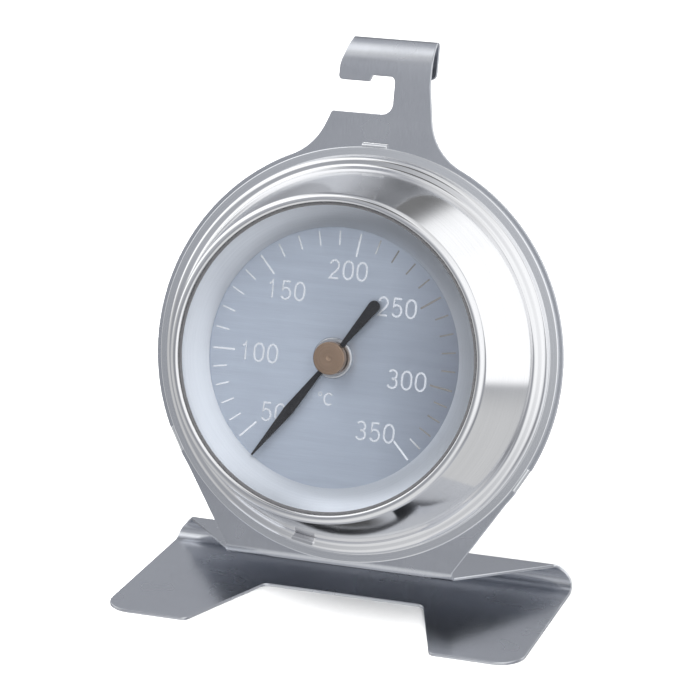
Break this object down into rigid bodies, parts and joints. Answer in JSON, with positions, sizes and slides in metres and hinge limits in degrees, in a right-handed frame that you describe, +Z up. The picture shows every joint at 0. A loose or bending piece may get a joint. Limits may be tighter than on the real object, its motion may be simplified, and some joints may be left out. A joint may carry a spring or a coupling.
{
  "type": "oven thermometer",
  "caption": "Dial oven thermometer: round glazed case on a bent sheet-steel stand that leans back, with a slotted hook on top for hanging from an oven rack.",
  "frame": {"origin": "on the floor, under the middle of the object's box", "axes": "+X to the right seen from the front, +Y from the front to the back, +Z up; the dial faces -Y and leans back by 14 degrees"},
  "size_m": [0.069, 0.0389, 0.0883],
  "materials": {
    "stand_steel": "satin",
    "case_steel": "polished",
    "window_glass": "clear",
    "seal_rubber": "matte",
    "dial_face": "brushed",
    "reflector": "satin",
    "pointer_black": "satin",
    "hub_brass": "satin",
    "inner_steel": "satin",
    "bimetal": "satin"
  },
  "bodies": {
    "case_and_stand": {"stand_plate": "stand_steel", "bezel_case": "case_steel", "lens_glass": "window_glass", "lens_seal": "seal_rubber", "reflector_ring": "reflector", "dial_plate": "dial_face", "dial_support_ring": "inner_steel", "movement_frame": "inner_steel", "frame_rivets": "inner_steel", "anchor_rivet": "inner_steel", "front_bush": "inner_steel", "rear_pivot_cup": "hub_brass", "bimetal_coil": "bimetal", "coil_anchor": "inner_steel", "coil_end_pin": "inner_steel"},
    "pointer_set": {"arbor": "inner_steel", "coil_collet": "hub_brass", "retaining_clip": "inner_steel", "thrust_washer": "hub_brass", "pointer": "pointer_black", "pointer_hub": "hub_brass"}
  },
  "joints": [
    {"name": "pointer_turn", "type": "hinge", "parent": "case_and_stand", "child": "pointer_set", "pos_m": [0, 0.00395, 0.03965], "axis": [0, 0.9703, -0.2419], "range_deg": [-25, 290], "stiffness_Nm_per_rad": 0.006, "deforming": ["bimetal_coil"]}
  ]
}
